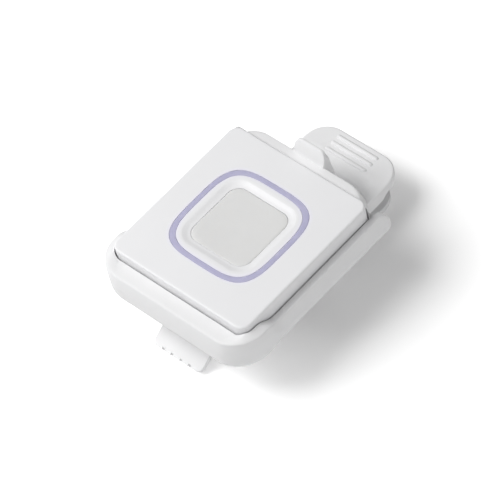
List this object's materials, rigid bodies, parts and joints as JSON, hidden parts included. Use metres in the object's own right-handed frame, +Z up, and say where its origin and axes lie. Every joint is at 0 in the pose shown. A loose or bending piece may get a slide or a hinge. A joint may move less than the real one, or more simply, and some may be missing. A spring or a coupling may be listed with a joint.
{
  "type": "wearable panic button",
  "caption": "Square wearable panic button with a recessed pad and light ring, in a snap cradle with a sprung belt clip.",
  "frame": {"origin": "on the floor that the clip lever rests on, under the middle of the whole object", "axes": "+Z up, square to the pendant's front face; +Y from the near wall of the cradle to the latch and the thumb pads; +X to the right seen from the near wall"},
  "size_m": [0.0446, 0.0642, 0.0241],
  "materials": {
    "white_plastic": "satin moulded white",
    "cradle_plastic": "satin moulded white",
    "clip_plastic": "satin moulded white",
    "ring_lens": "frosted lavender window",
    "clear_guide": "clear acrylic",
    "led": "yellow lens",
    "soft_pad": "soft grey silicone",
    "seal": "black rubber",
    "dark_moulding": "black moulding",
    "board": "green solder resist",
    "steel": "bright steel",
    "ceramic": "white ceramic",
    "gold_contact": "gold-plated spring bronze",
    "spring_steel": "drawn spring wire"
  },
  "bodies": {
    "cradle": {"cradle_tray": "cradle_plastic", "clip_upper_arm": "clip_plastic", "clip_pin": "steel", "clip_spring": "spring_steel", "clip_screws": "steel"},
    "pendant": {"front_cover": "white_plastic", "rear_cover": "white_plastic", "case_seal": "seal", "case_screws": "steel", "light_ring": "ring_lens", "light_guide": "clear_guide", "leds": "led", "button_frame": "white_plastic", "tactile_switch": "dark_moulding", "circuit_board": "board", "controller_chip": "dark_moulding", "radio_module": "steel", "antenna": "ceramic", "coin_cell": "steel", "battery_contact_negative": "gold_contact", "battery_contact_positive": "gold_contact"},
    "button": {"button_cap": "soft_pad", "switch_plunger": "dark_moulding"},
    "latch": {"latch_wall": "cradle_plastic"},
    "lever": {"clip_lever": "clip_plastic"}
  },
  "joints": [
    {"name": "pendant_lift", "type": "slide", "parent": "cradle", "child": "pendant", "axis": [0, 0, 1], "range_m": [0, 0.014]},
    {"name": "button_press", "type": "slide", "parent": "pendant", "child": "button", "axis": [0, 0, -1], "range_m": [0, 0.0004], "stiffness_N_per_m": 3000, "springref_m": -0.0002},
    {"name": "latch_flex", "type": "hinge", "parent": "cradle", "child": "latch", "pos_m": [0, 0.0152, 0.01195], "axis": [-1, 0, 0], "range_deg": [0, 6], "stiffness_Nm_per_rad": 0.4},
    {"name": "clip_squeeze", "type": "hinge", "parent": "cradle", "child": "lever", "pos_m": [0, 0.00547, 0.0045], "axis": [1, 0, 0], "range_deg": [0, 12], "stiffness_Nm_per_rad": 0.2, "springref_deg": -34.38, "deforming": ["clip_spring"]}
  ]
}
